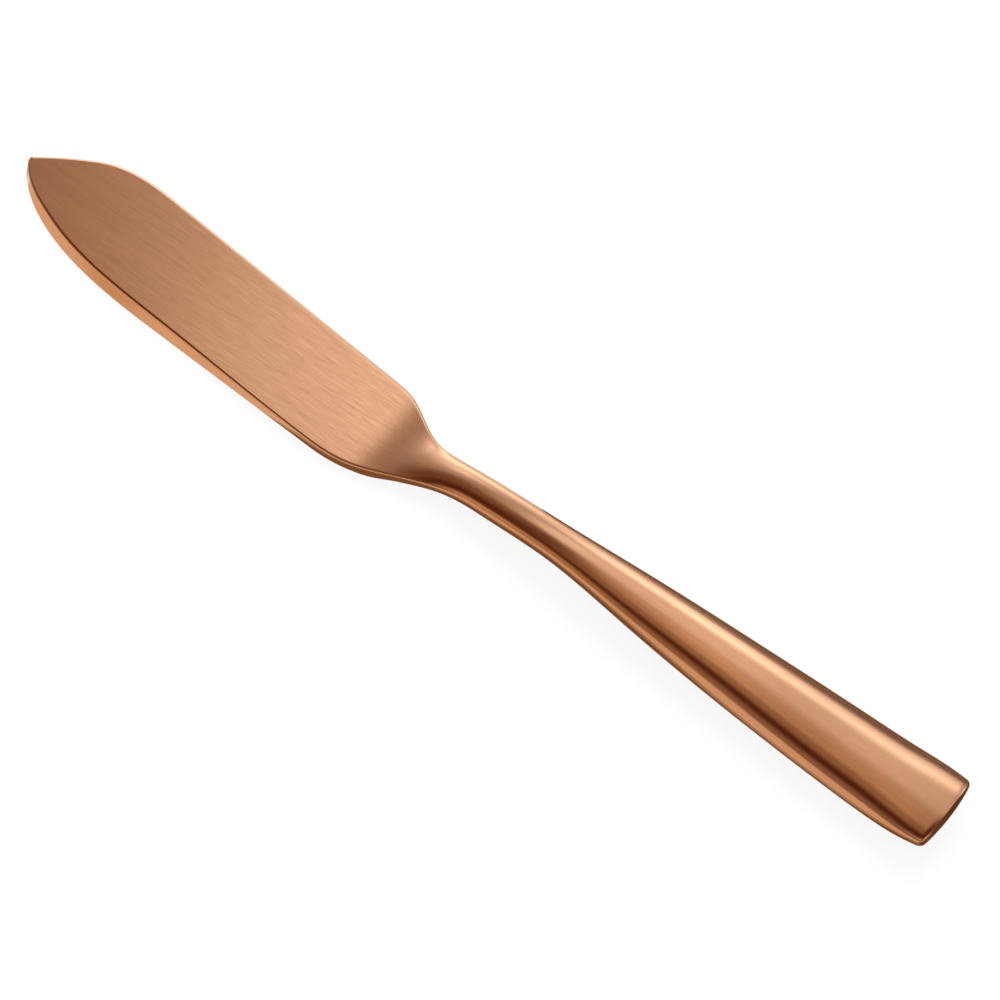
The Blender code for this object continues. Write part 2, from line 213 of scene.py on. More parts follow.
class KnifeFinish(bpy.types.PropertyGroup):
    """Colours and grain of the brushed copper coat and the cement."""
    copper: tint("Copper", "Main colour of the coat", (0.82, 0.495, 0.302))
    deep: tint("Deep copper", "Colour in the brush lines", (0.65, 0.38, 0.225))
    worn: tint("Worn copper", "Colour on rubbed edges", (0.86, 0.56, 0.36))
    roughness: share("Roughness", "Gloss of the coat", 0.17)
    roughness_grain: share("Roughness grain", "Change of gloss in the brush lines", 0.12)
    line_width: length("Line width", "Width of one brush line", 0.00016)
    line_length: length("Line length", "Length of one brush line", 0.004)
    line_depth: length("Line depth", "Depth of one brush line", 0.0000012)
    line_contrast: number("Line contrast", "How far the brush lines deepen the coat", 1.8)
    band_ratio: number("Band ratio", "Size of the broad bands, in brush lines", 5.0, 1.0)
    band_contrast: number("Band contrast", "How far the broad bands deepen the coat", 0.9)
    band_bump: number("Band bump", "Height of the broad bands, in brush lines", 1.5)
    drift_scale: number("Drift scale", "Clouds of tone in a metre", 45.0)
    drift_contrast: number("Drift contrast", "How far the clouds deepen the coat", 0.5)
    deep_share: share("Deep share", "Share of deep copper all over", 0.35)
    wear: share("Wear", "Share of worn copper on a rubbed edge", 0.4)
    wear_bands: share("Wear bands", "Further share in the broad bands", 0.5)
    wear_gloss: share("Wear gloss", "How much smoother a rubbed edge is", 0.05)
    blade_brushing: share("Blade brushing", "Contrast of the brush lines on the blade", 0.9)
    handle_brushing: share("Handle brushing", "Contrast of the brush lines on neck and handle", 0.2)
    cement: tint("Cement", "Colour of the filler", (0.55, 0.50, 0.42))


class KnifeStage(bpy.types.PropertyGroup):
    """Camera, floor and light tent."""
    azimuth: degrees("Azimuth", "Camera round the knife, from -Y", 38.966)
    elevation: degrees("Elevation", "Camera above the table", 60.0)
    distance: length("Distance", "Camera to its target", 0.39128)
    lens: number("Lens", "Focal length in millimetres", 100.0, 10.0, 300.0)
    target_x: length("Target along", "Point that the camera looks at, along the knife", 0.0086335)
    target_y: length("Target across", "The same, from the handle's axis", 0.0010279)
    target_z: length("Target height", "The same, above the table", 0.003)
    tent_radius: length("Tent radius", "Size of the light tent", 1.6)
    surround: tint("Surround", "Warm dark cloth of the tent", (0.08, 0.012, 0.003))
    amber: tint("Amber", "Gel on the amber softboxes", (1.0, 0.70, 0.42))
    # Painted reflections: these cards glow in their own colour and show only in the metal
    front_card: tint("Front card", "Warm card on the floor in front of the knife", (0.80, 0.58, 0.44))
    end_card: tint("End card", "Dark card on the floor beyond the butt", (0.14, 0.06, 0.03))
    back_card: tint("Back card", "Dark card on the floor behind the handle", (0.24, 0.15, 0.09))
    pale_card: tint("Pale card", "Light card on the floor behind the blade", (0.90, 0.95, 1.0))
    # Painted shadow: the foot and shade cards glow dark under the knife and show only in the metal
    foot_shadow_card: tint("Foot card", "Shade under the knife in reflections", (0.22, 0.12, 0.06))
    shade_card: tint("Shade card", "Rim of that shade", (0.48, 0.32, 0.21))
    foot_reach: length("Foot reach", "Reach of the shade in front of the handle", 0.0022)
    lift_reach: number("Lift reach", "Further reach, as a multiple of the underside's height", 3.0)
    floor_white: share("Floor white", "Share of plain white in the floor, beside its shadow", 0.88)
    room_light: number("Room light", "Even light from all sides", 0.9)
    lamp_azimuth: degrees("Lamp azimuth", "Lamp round the knife, from -Y", -165)
    lamp_elevation: degrees("Lamp elevation", "Lamp above the table", 55)
    lamp_distance: length("Lamp distance", "Lamp to the knife", 0.9)
    lamp_size: length("Lamp size", "Width of the lamp", 0.5)
    lamp_power: number("Lamp power", "Watts of the lamp", 4.0)


class KnifeSettings(bpy.types.PropertyGroup):
    """All settings of the knife."""
    blade: bpy.props.PointerProperty(type=KnifeBladeSizes, name="Blade", description="Sizes of the blade")
    heel: bpy.props.PointerProperty(type=KnifeHeelSizes, name="Heel", description="Sizes of the heel")
    handle: bpy.props.PointerProperty(type=KnifeHandleSizes, name="Handle", description="Sizes of the handle")
    finish: bpy.props.PointerProperty(type=KnifeFinish, name="Finish", description="Colours and grain")
    stage: bpy.props.PointerProperty(type=KnifeStage, name="Stage", description="Camera, floor and light")


# Softboxes in the tent: place, azimuth and elevation in degrees, tightness, white light, amber light
SOFTBOXES = (
    ("back", -163, 45, 70, 2.0, 0.0),
    ("back, low", -167, 31, 150, 1.0, 0.0),
    ("back, high", -158, 64, 110, 0.65, 0.3),
    ("back left, low", -142, 18, 20, 1.9, 0.0),
    ("back left, for the heel", -129, 39, 250, 1.2, 0.0),
    ("back left, for the blade", -137, 57, 180, 1.1, 0.0),
    ("back left, for the tip", -127, 53, 80, 0.0, 0.2),
    ("overhead, back", -135, 75, 150, 0.15, 0.65),
    ("overhead", -85, 80, 150, 0.15, 0.55),
    ("left", -113, 30, 80, 0.0, 0.35),
    ("left, high", -100, 57, 60, 0.0, 0.15),
    ("front, high", -36, 70, 60, 0.0, 0.35),
    ("front", -33, 26, 50, 0.0, 0.5),
    ("front, at the floor", -36, -15, 7, 0.0, 0.8),
    ("left, low", -80, 12, 25, 0.3, 0.3),
    ("front right", 8, 24, 60, 0.5, 0.4),
    ("right", 65, 20, 12, 0.4, 0.3),
    ("back right", 142, 36, 12, 1.3, 0.2),
)


class Wire:
    """A shader socket whose arithmetic adds Math nodes."""

    def __init__(self, graph, socket):
        self.graph, self.socket = graph, socket

    def math(self, operation, *values):
        return self.graph.node("ShaderNodeMath", {"operation": operation}, dict(enumerate(values)))

    def __add__(self, other):
        return self.math("ADD", self, other)

    __radd__ = __add__

    def __sub__(self, other):
        return self.math("SUBTRACT", self, other)

    def __rsub__(self, other):
        return self.math("SUBTRACT", other, self)

    def __mul__(self, other):
        return self.math("MULTIPLY", self, other)

    __rmul__ = __mul__

    def __rpow__(self, other):
        return self.math("POWER", other, self)


class Graph:
    """The nodes of one material or of the world."""

    def __init__(self, tree):
        self.tree = tree
        tree.nodes.clear()

    def node(self, kind, settings=None, sockets=None, output=0):
        """Any node: its settings are set first, then its sockets are set or linked."""
        made = self.tree.nodes.new(kind)
        for key, value in (settings or {}).items():
            setattr(made, key, value)
        for key, value in (sockets or {}).items():
            if isinstance(value, Wire):
                self.tree.links.new(value.socket, made.inputs[key])
            else:
                made.inputs[key].default_value = value
        return Wire(self, made.outputs[output]) if made.outputs else None

    def mix(self, factor, a, b):
        """Colour between a and b."""
        return self.node("ShaderNodeMix", {"data_type": "RGBA"}, {0: factor, 6: a, 7: b}, 2)

    def noise(self, place, scales, detail=2.0):
        """Noise with its own scale along each axis."""
        where = self.vector("MULTIPLY", place, scales)
        return self.node("ShaderNodeTexNoise", None, {"Vector": where, "Scale": 1.0, "Detail": detail}, "Fac")

    def vector(self, operation, a, b, output=0):
        return self.node("ShaderNodeVectorMath", {"operation": operation}, {0: a, 1: b}, output)

    def scaled(self, colour, amount):
        return self.node("ShaderNodeVectorMath", {"operation": "SCALE"}, {0: colour, "Scale": amount})


def rgba(colour):
    return (*colour, 1.0)


def finish_graph(name):
    """New material and its empty graph."""
    made = bpy.data.materials.new(name)
    made.use_nodes = True
    return made, Graph(made.node_tree)


def brushed_copper(name, finish, along):
    """Copper coat brushed in fine lines. along is the axis of the lines, 0 to 2."""
    made, graph = finish_graph(name)
    place = graph.node("ShaderNodeTexCoord", output="Object")
    fine = [1 / finish.line_width] * 3
    fine[along] = 1 / finish.line_length
    broad = [value / finish.band_ratio for value in fine]
    lines = graph.noise(place, fine, 3.0)
    bands = graph.noise(place, broad)
    drift = graph.noise(place, [finish.drift_scale] * 3)
    rubbed, brushed = (graph.node("ShaderNodeAttribute", {"attribute_name": each}, output="Fac")
                       for each in ("rubbed", "brushed"))
    streaks = finish.line_contrast * (lines - 0.5) + finish.band_contrast * (bands - 0.5)
    depth = brushed * streaks + finish.drift_contrast * (drift - 0.5) + finish.deep_share
    coat = graph.mix(depth, rgba(finish.copper), rgba(finish.deep))
    colour = graph.mix(rubbed * (finish.wear + finish.wear_bands * bands), coat, rgba(finish.worn))
    gloss = finish.roughness + finish.roughness_grain * (lines - 0.5) - finish.wear_gloss * rubbed
    bump = graph.node("ShaderNodeBump", None, {
        "Strength": 1.0, "Distance": finish.line_depth,
        "Height": brushed * (lines + finish.band_bump * bands)}, "Normal")
    shader = graph.node("ShaderNodeBsdfPrincipled", None, {
        "Base Color": colour, "Metallic": 1.0, "Roughness": gloss, "Normal": bump}, "BSDF")
    graph.node("ShaderNodeOutputMaterial", None, {"Surface": shader})
    return made


def resin_cement(name, finish):
    """Cast filler with sand grain."""
    made, graph = finish_graph(name)
    place = graph.node("ShaderNodeTexCoord", output="Object")
    grain_scale, cloud_scale, grain_depth, paleness = 2500.0, 120.0, 0.00005, 1.25
    grain = graph.noise(place, [grain_scale] * 3, 4.0)
    cloud = graph.noise(place, [cloud_scale] * 3)
    pale = [min(paleness * value, 1.0) for value in finish.cement]
    colour = graph.mix(0.6 * grain + 0.4 * cloud, rgba(finish.cement), rgba(pale))
    bump = graph.node("ShaderNodeBump", None, {
        "Strength": 0.6, "Distance": grain_depth, "Height": grain}, "Normal")
    shader = graph.node("ShaderNodeBsdfPrincipled", None, {
        "Base Color": colour, "Roughness": 0.7 + 0.2 * grain, "Normal": bump}, "BSDF")
    graph.node("ShaderNodeOutputMaterial", None, {"Surface": shader})
    return made


def ease(start, distance, x):
    """0 before start, 1 a distance later, with no jump in curvature."""
    u = np.clip((x - start) / distance, 0.0, 1.0)
    return u ** 3 * (10 - 15 * u + 6 * u * u)


def soft_min(a, b, softness):
    """The lower of two values, rounded where they cross."""
    closeness = np.maximum(softness - np.abs(a - b), 0.0) / softness
    return np.minimum(a, b) - closeness ** 2 * softness / 4


def spline(points):
    """Natural cubic curve through the points, straight before the first."""
    xs, ys = np.array(points).T
    h = np.diff(xs)
    rise = np.diff(ys) / h
    last = len(xs) - 1
    matrix = np.zeros((last + 1, last + 1))
    right = np.zeros(last + 1)
    matrix[0, :2] = 2, 1
    matrix[last, last - 1:] = 1, 2
    right[0], right[last] = 3 * rise[0], 3 * rise[-1]
    for i in range(1, last):
        matrix[i, i - 1:i + 2] = h[i], 2 * (h[i - 1] + h[i]), h[i - 1]
        right[i] = 3 * (h[i] * rise[i - 1] + h[i - 1] * rise[i])
    slopes = np.linalg.solve(matrix, right)

    def curve(x):
        if x <= xs[0]:
            return ys[0] + slopes[0] * (x - xs[0])
        i = min(int(np.searchsorted(xs, x)) - 1, last - 1)
        u = (x - xs[i]) / h[i]
        return ((1 + 2 * u) * (1 - u) ** 2 * ys[i] + u * (1 - u) ** 2 * h[i] * slopes[i]
                + u * u * (3 - 2 * u) * ys[i + 1] + u * u * (u - 1) * h[i] * slopes[i + 1])
    return curve


def quarter_round(radius, into):
    """Drop of a quarter round, where into is the way gone from its start, and a little short of its end."""
    into = min(max(into, 0.0), ROUND_END * radius)
    return radius - math.sqrt(radius * radius - into * into)


class Knife:
    """The knife's long curves and cross-sections, from its settings."""

    def __init__(self, settings):
        self.blade, self.heel, self.handle = settings.blade, settings.heel, settings.handle
        h = self.handle
        self.tip_x = TIP_X + self.blade.tip_cut
        self.heel_x = TIP_X + self.blade.length
        self.joint_x = self.heel_x + h.neck_length
        self.plate_x = BUTT_X - h.plate_thickness
        self.rib_x = self.plate_x - h.rib_length
        self.spigot_x = self.joint_x + h.spigot_length
        self.tang_x = self.spigot_x + h.tang_length
        self.rim_x = BUTT_X - h.end_dome
        heel_end, ramp_end, neck_middle, waist = (
            self.heel_x + s * h.neck_length for s in (0.12, 0.30, 0.46, 0.78))
        start, swell, grip, rear, butt, turn = (
            self.joint_x + s * h.length for s in (0.06, 0.26, 0.48, 0.75, 0.87, 0.95))
        neck_top = h.neck_rise + h.neck_height
        # Each knot is a station and a share of the size that rules there
        self.half_width = spline((
            (heel_end, 0.40 * h.neck_width), (waist, h.neck_width / 2), (start, 0.52 * h.neck_width),
            (swell, h.swell_width / 2), (grip, h.grip_width / 2), (rear, 0.476 * h.butt_width),
            (butt, 0.497 * h.butt_width), (turn, h.butt_width / 2), (BUTT_X, h.end_width / 2)))
        self.crown = spline((
            (heel_end, 0.283 * neck_top), (ramp_end, 0.5176 * neck_top), (neck_middle, 0.7236 * neck_top),
            (waist, neck_top), (start, 0.957 * h.grip_top), (swell, h.grip_top), (grip, h.grip_top),
            (rear, h.butt_top), (turn, h.butt_top), (BUTT_X, h.end_top)))
        self.keel = spline((
            (heel_end, 0.36 * h.neck_rise), (waist, h.neck_rise), (start, 1.44 * h.neck_rise),
            (swell, 0.88 * h.neck_rise), (grip, 0.10 * h.neck_rise), (rear, 0.0),
            (butt, 0.11 * h.end_rise), (turn, 0.57 * h.end_rise), (BUTT_X, h.end_rise)))

    def half_handle(self, x):
        """Half width of neck and handle, with the end's corners rounded in plan."""
        r = self.handle.end_round
        return self.half_width(x) - quarter_round(r, x - self.rim_x + r)

    def spine_side(self, x):
        """Outline on the spine side, from the clipped tip to the butt."""
        b, h = self.blade, self.heel
        from_point = x - TIP_X + b.tip_trim
        clip = b.tip_offset + b.clip_slope * from_point - b.clip_curve * from_point ** 2
        spine = b.spine_reach + b.spine_slope * (self.heel_x - x)
        flat = soft_min(clip, spine, b.clip_round) if from_point < b.belly_length else spine
        return flat + (self.half_handle(x) - flat) * ease(self.heel_x - h.spine_lead, h.spine_shoulder, x)

    def edge_side(self, x):
        """Outline on the cutting side, from the belly to the butt."""
        b, h = self.blade, self.heel
        edge = b.edge_reach - b.edge_slope * (self.heel_x - x)
        along = min((x - TIP_X + b.tip_trim) / b.belly_length, 1.0)
        belly = (1 - (1 - along) ** b.belly_fullness) ** b.belly_point
        flat = b.tip_offset - (b.tip_offset + edge) * belly
        return flat + (-self.half_handle(x) - flat) * ease(self.heel_x - h.edge_lead, h.edge_shoulder, x)

    def limits(self, x, inset=0.0):
        """Spine, edge, low and high limits at x, drawn in by inset."""
        thickness, tip_round, h = self.blade.thickness, self.blade.tip_round, self.heel
        drop = quarter_round(tip_round, self.tip_x + tip_round - x)
        high = -soft_min(-self.crown(x), -thickness, h.ramp_softness) - drop
        low = max(self.keel(x), 0.0) * ease(self.heel_x + h.under_delay, h.under_length, x) + drop
        return self.spine_side(x) - inset, self.edge_side(x) + inset, low + inset, high - inset

    def bevel(self, x):
        """Plan width of the bevel, slim at the tip and running out at the heel."""
        b = self.blade
        grown = b.bevel_tip + (1 - b.bevel_tip) * ease(TIP_X, b.bevel_grow, x)
        width = b.bevel_width * grown * (1 - ease(self.heel_x - b.bevel_length, b.bevel_length, x))
        return min(width, BEVEL_MOST * (self.spine_side(x) - self.edge_side(x)))

    def bar_section(self, spine, edge, low, high, radii, bevel=0.0):
        """Flat bar with rounded corners: spine corners, upper face, edge corners, lower face."""
        b = self.blade
        most = min(CORNER_WIDTH * (spine - edge - bevel), CORNER_HEIGHT * (high - low))
        back, r = (min(radius, most) for radius in radii)
        crease = r + (b.bevel_crease - r) * bevel / b.bevel_width
        lean = 180 - np.degrees(np.arctan2(bevel, high - low))
        corners = ((spine - back, low + back, back, -90, 0),
                   (spine - back, high - back, back, 0, 90),
                   (edge + bevel + crease, high - crease, crease, 90, lean),
                   (edge + r, low + r, r, lean, 270))
        arcs = []
        for y, z, size, start, end in corners:
            turn = np.radians(np.linspace(start, end, ARC_POINTS))
            arcs.append(np.stack([y + size * np.cos(turn), z + size * np.sin(turn)], 1))
        between = np.linspace(0, 1, FLAT_POINTS + 2)[1:-1, None]
        upper = arcs[1][-1] + (arcs[2][0] - arcs[1][-1]) * between
        lower = arcs[3][-1] + (arcs[0][0] - arcs[3][-1]) * between
        return np.concatenate([arcs[0], arcs[1], upper, arcs[2], arcs[3], lower])

    def oval_section(self, spine, edge, low, high, angles=SECTION_ANGLES):
        """Oval of the given limits, fuller than an ellipse."""
        across, up = np.cos(angles), np.sin(angles)
        power = 2 / self.handle.squareness
        y = (spine + edge) / 2 + (spine - edge) / 2 * np.sign(across) * np.abs(across) ** power
        z = (high + low) / 2 + (high - low) / 2 * np.sign(up) * np.abs(up) ** power
        return np.stack([y, z], 1)

    def oval_ring(self, x, inset=0.0, angles=SECTION_ANGLES):
        return placed(x, self.oval_section(*self.limits(x, inset), angles))

    def outer_ring(self, x):
        """Full section at x: flat bar at the blade, oval at the neck."""
        h = self.heel
        limits, radii = self.limits(x), (self.blade.spine_round, self.blade.edge_round)
        oval = self.oval_section(*limits)
        bar = self.bar_section(*limits, radii, self.bevel(x))
        return placed(x, bar + (oval - bar) * ease(self.heel_x + h.rounding_delay, h.rounding_length, x))

    def tang_stations(self):
        """Stations along the tang, with the four corners of its three notches."""
        h = self.handle
        middles = [self.spigot_x + h.tang_length * s for s in (0.25, 0.5, 0.75)]
        shares = (-NOTCH_MOUTH, -NOTCH_FLOOR, NOTCH_FLOOR, NOTCH_MOUTH)
        corners = [middle + h.notch_length * s for middle in middles for s in shares]
        return middles, [self.spigot_x, *corners, self.tang_x]

    def tang_ring(self, x, middles):
        """Section of the tang at x."""
        h = self.handle
        taper = 1 - (1 - h.tang_taper) * (x - self.spigot_x) / h.tang_length
        inside = h.notch_length * (NOTCH_FLOOR + NOTCH_MOUTH) / 2
        notched = any(abs(x - middle) < inside for middle in middles)
        half_width = h.tang_width / 2 * taper - h.notch_depth * notched
        half_height = h.tang_thickness / 2 * taper
        limits = self.limits(x)
        middle = (limits[2] + limits[3]) / 2
        return placed(x, self.bar_section(half_width, -half_width, middle - half_height, middle + half_height,
                                          (h.tang_round, h.tang_round)))


def placed(x, section):
    """Section at x along the knife."""
    return np.column_stack([np.full(len(section), x), section[:, 0] + AXIS_Y, section[:, 1]])


def spaced(start, end, step):
    """Stations from start to end, no further apart than step."""
    return np.linspace(start, end, max(int(np.ceil((end - start) / step)), 1) + 1)


def skin_normals(ring_at, x, closed=True):
    """Normals of the skin at one station, the same from either side of a joint."""
    here, before, after = ring_at(x), ring_at(x - NORMAL_STEP), ring_at(x + NORMAL_STEP)
    if closed:
        around = np.roll(here, -1, 0) - np.roll(here, 1, 0)
    else:
        around = np.gradient(here, axis=0)
    normals = np.cross(around, after - before)
    return normals / np.maximum(np.linalg.norm(normals, axis=1, keepdims=True), 1e-12)


def added(name, data):
    """New object in the scene."""
    made = bpy.data.objects.new(name, data)
    bpy.context.scene.collection.objects.link(made)
    return made


def loft(name, rings, material, normals, rubbed, brushed, caps=None):
    """Closed piece through rings of equal counts. normals holds one array per ring, or None for a plain ring.

    rubbed holds the wear of each point, brushed the brushing of each ring, and caps the faces of each end, by
    default one polygon."""
    count = len(rings[0])
    mesh = bmesh.new()
    rows = [[mesh.verts.new(point) for point in points] for points in rings]
    for a, b in zip(rows, rows[1:]):
        for i in range(count):
            j = (i + 1) % count
            mesh.faces.new((a[i], b[i], b[j], a[j]))
    for row in (rows[0], rows[-1]):
        for face in caps or [range(count)]:
            mesh.faces.new([row[i] for i in face])
    bmesh.ops.recalc_face_normals(mesh, faces=mesh.faces)
    if mesh.calc_volume(signed=True) < 0:
        bmesh.ops.reverse_faces(mesh, faces=mesh.faces)
    data = bpy.data.meshes.new(name)
    mesh.to_mesh(data)
    mesh.free()
    data.shade_smooth()
    data.set_sharp_from_angle(angle=SHARP_ANGLE)
    for each, values in (("rubbed", np.concatenate(rubbed)), ("brushed", np.repeat(brushed, count))):
        data.attributes.new(each, "FLOAT", "POINT").data.foreach_set("value", values.astype(np.float32))
    vertex_normals = np.concatenate([
        np.zeros((count, 3)) if found is None else found for found in normals])
    points = np.empty(len(data.loops), dtype=np.int32)
    data.loops.foreach_get("vertex_index", points)
    loop_normals = vertex_normals[points]
    # Faces across the knife, and loops whose normal would face inwards, keep their own normals
    for polygon in data.polygons:
        loops = list(polygon.loop_indices)
        inwards = [np.dot(loop_normals[i], polygon.normal) < 0 for i in loops]
        loop_normals[loops] *= (~np.array(inwards) & (abs(polygon.normal.x) <= FLAT_END))[:, None]
    data.normals_split_custom_set(loop_normals)
    data.materials.append(material)
    return added(name, data)


def dress(piece, node):
    """The piece stands for a node of the frame."""
    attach(piece, BODY)
    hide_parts(node)


class KNIFE_OT_blade(bpy.types.Operator):
    """Loft the blade, its heel, the neck, the spigot and the tang"""
    bl_idname = "knife.forge_blade"
    bl_label = "Forge blade"

    def execute(self, context):
        settings = context.scene.butter_knife
        knife, sizes, heel = Knife(settings), settings.blade, settings.heel
        round_tip = sizes.belly_length / 2
        heel_start, heel_end = knife.heel_x - heel.edge_lead, knife.heel_x + heel.spine_shoulder
        stations = np.concatenate([
            knife.tip_x + round_tip * np.linspace(0, 1, TIP_STATIONS) ** 2,
            spaced(knife.tip_x + round_tip, heel_start, BLADE_STEP)[1:],
            spaced(heel_start, heel_end, HEEL_STEP)[1:], spaced(heel_end, knife.joint_x, NECK_STEP)[1:]])
        rings = [knife.outer_ring(x) for x in stations]
        normals = [skin_normals(knife.outer_ring, max(x, knife.tip_x + NORMAL_STEP)) for x in stations]
        corner = np.zeros(SECTION_POINTS)
        corner[:2 * ARC_POINTS] = 1.0
        corner[2 * ARC_POINTS + FLAT_POINTS:4 * ARC_POINTS + FLAT_POINTS] = 1.0
        rubbed = [corner * (1 - ease(knife.heel_x + heel.rounding_delay, heel.rounding_length, x))
                  for x in stations]
        fit = settings.handle.wall + settings.handle.fit
        middles, tang = knife.tang_stations()
        inner = [knife.oval_ring(x, fit) for x in (knife.joint_x, knife.spigot_x)]
        inner += [knife.tang_ring(x, middles) for x in tang]
        finish = brushed_copper("brushed_copper_blade", settings.finish, 0)
        plain = [np.zeros(SECTION_POINTS)] * len(inner)
        strong, faint = settings.finish.blade_brushing, settings.finish.handle_brushing
        fade = ease(knife.heel_x, heel.spine_shoulder, np.append(stations, [knife.joint_x] * len(inner)))
        piece = loft("knife_blade", rings + inner, finish, normals + [None] * len(inner), rubbed + plain,
                     strong + (faint - strong) * fade)
        dress(piece, "blade")
        return {"FINISHED"}


class KNIFE_OT_handle_shells(bpy.types.Operator):
    """Loft the two pressed half shells of the handle"""
    bl_idname = "knife.press_handle_shells"
    bl_label = "Press handle shells"

    def execute(self, context):
        settings = context.scene.butter_knife
        knife, wall = Knife(settings), settings.handle.wall
        finish = brushed_copper("brushed_copper_handle", settings.finish, 0)
        stations = spaced(knife.joint_x, knife.plate_x, HANDLE_STEP)
        last = 2 * SHELL_STEPS + 1
        caps = [(i, i + 1, last - i - 1, last - i) for i in range(SHELL_STEPS)]
        for name, node, side in (("knife_upper_shell", "upper_handle_shell", 1),
                                 ("knife_lower_shell", "lower_handle_shell", -1)):
            angles = side * np.linspace(0, np.pi, SHELL_STEPS + 1)
            wide = side * np.linspace(-np.pi / SHELL_STEPS, np.pi * (1 + 1 / SHELL_STEPS), SHELL_STEPS + 3)
            rings, normals = [], []
            for x in stations:
                outer = knife.oval_ring(x, 0.0, angles)
                rings.append(np.concatenate([outer, knife.oval_ring(x, wall, angles)[::-1]]))
                skin = side * skin_normals(lambda at: knife.oval_ring(at, 0.0, wide), x, closed=False)[1:-1]
                normals.append(np.concatenate([skin, np.zeros((SHELL_STEPS + 1, 3))]))
            rubbed = [np.zeros(2 * SHELL_STEPS + 2)] * len(rings)
            brushed = [settings.finish.handle_brushing] * len(rings)
            piece = loft(name, rings, finish, normals, rubbed, brushed, caps)
            dress(piece, node)
        return {"FINISHED"}


class KNIFE_OT_butt_plate(bpy.types.Operator):
    """Loft the domed plate that closes the handle"""
    bl_idname = "knife.fit_butt_plate"
    bl_label = "Fit butt plate"

    def execute(self, context):
        settings = context.scene.butter_knife
        knife, sizes = Knife(settings), settings.handle
        fit = sizes.wall + sizes.fit
        rings = [knife.oval_ring(knife.rib_x, fit), knife.oval_ring(knife.plate_x, fit)]
        normals = [None, None]
        skirt = np.concatenate([
            spaced(knife.plate_x, knife.rim_x - sizes.end_round, SKIRT_STEP),
            knife.rim_x - sizes.end_round * np.linspace(1, 0, RIM_RINGS)[1:] ** 2])
        rings += [knife.oval_ring(x) for x in skirt]
        normals += [skin_normals(knife.oval_ring, x) for x in skirt]
        rim = rings[-1]
        centre = rim.mean(axis=0)
        rubbed = [np.zeros(SECTION_POINTS) for _ in rings]
        rubbed[-1] += 1.0
        for part in np.linspace(1.0, DOME_CENTRE, DOME_RINGS)[1:]:
            dome = centre + (rim - centre) * part
            dome[:, 0] = BUTT_X - sizes.end_dome * part ** 2
            rings.append(dome)
            normals.append(None)
            rubbed.append(np.full(SECTION_POINTS, 1.0 if part > RUBBED_RIM else 0.0))
        finish = brushed_copper("brushed_copper_butt", settings.finish, 1)
        brushed = [settings.finish.handle_brushing] * len(rings)
        dress(loft("knife_butt_plate", rings, finish, normals, rubbed, brushed), "butt_plate")
        return {"FINISHED"}


class KNIFE_OT_filler(bpy.types.Operator):
    """Give the filler inside the handle its cast finish"""
    bl_idname = "knife.finish_filler"
    bl_label = "Finish filler"

    def execute(self, context):
        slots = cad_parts["handle_filler"].data.materials
        slots.clear()
        slots.append(resin_cement("resin_cement_filler", context.scene.butter_knife.finish))
        return {"FINISHED"}


def rectangle(left, right, front, back):
    """The two lines of points of a sheet with square corners."""
    return [(left, front), (right, front)], [(left, back), (right, back)]


def sheet(name, height, lines, material):
    """Flat stage piece between two lines of points."""
    first, second = lines
    count = len(first)
    points = [(x, y, height) for x, y in (*first, *second)]
    data = bpy.data.meshes.new(name)
    data.from_pydata(points, [], [(i, i + 1, count + i + 1, count + i) for i in range(count - 1)])
    data.materials.append(material)
    made = added(name, data)
    return made


def reflections_only(piece):
    """The piece shows in metal and nowhere else, and casts no shadow."""
    piece.visible_camera = piece.visible_diffuse = piece.visible_transmission = False
    piece.visible_shadow = piece.visible_volume_scatter = False


def towards(azimuth, elevation):
    """Unit vector from the knife, azimuth 0 at -Y and 90 degrees at +X."""
    return Vector((math.sin(azimuth) * math.cos(elevation), -math.cos(azimuth) * math.cos(elevation),
                   math.sin(elevation)))


def seen_white(graph):
    """1 for rays from the camera, from metal and through glass, and 0 for the light that falls on things."""
    camera, glossy, through = (graph.node("ShaderNodeLightPath", output=name)
                               for name in ("Is Camera Ray", "Is Glossy Ray", "Is Transmission Ray"))
    return camera + glossy + through


def floor_finish(stage):
    """White floor that keeps the knife's shadow, also in reflections."""
    made, graph = finish_graph("white_floor")
    white = stage.floor_white * seen_white(graph)
    cloth = graph.node("ShaderNodeBsdfDiffuse", None, {"Color": rgba(FLOOR_CLOTH)})
    glow = graph.node("ShaderNodeEmission", None, {"Color": rgba(WHITE), "Strength": 1.0})
    shader = graph.node("ShaderNodeMixShader", None, {0: white, 1: cloth, 2: glow})
    graph.node("ShaderNodeOutputMaterial", None, {"Surface": shader})
    return made


def tent_finish(stage):
    """Warm dark cloth with soft boxes of light behind it."""
    made, graph = finish_graph("tent_cloth")
    place = graph.node("ShaderNodeTexCoord", output="Object")
    outward = graph.vector("MULTIPLY", place, [1 / stage.tent_radius] * 3)
    white = amber = 0.0
    for _, azimuth, elevation, tightness, plain, gelled in SOFTBOXES:
        centre = towards(math.radians(azimuth), math.radians(elevation))
        nearness = graph.vector("DOT_PRODUCT", outward, centre, "Value")
        spot = math.e ** (tightness * nearness - tightness)
        white, amber = white + plain * spot, amber + gelled * spot
    light = graph.vector("ADD", graph.scaled(WHITE, white), graph.scaled(stage.amber, amber))
    glow = graph.vector("ADD", light, stage.surround)
    shader = graph.node("ShaderNodeBsdfPrincipled", None, {
        "Base Color": rgba(BLACK), "Specular IOR Level": 0.0, "Roughness": 1.0,
        "Emission Color": glow, "Emission Strength": 1.0}, "BSDF")
    graph.node("ShaderNodeOutputMaterial", None, {"Surface": shader})
    return made


def card_finish(name, colour):
    """Card that glows in one colour with no lamp, for painted reflections and painted shadow."""
    made, graph = finish_graph(name)
    shader = graph.node("ShaderNodeEmission", None, {"Color": rgba(colour), "Strength": 1.0})
    graph.node("ShaderNodeOutputMaterial", None, {"Surface": shader})
    return made


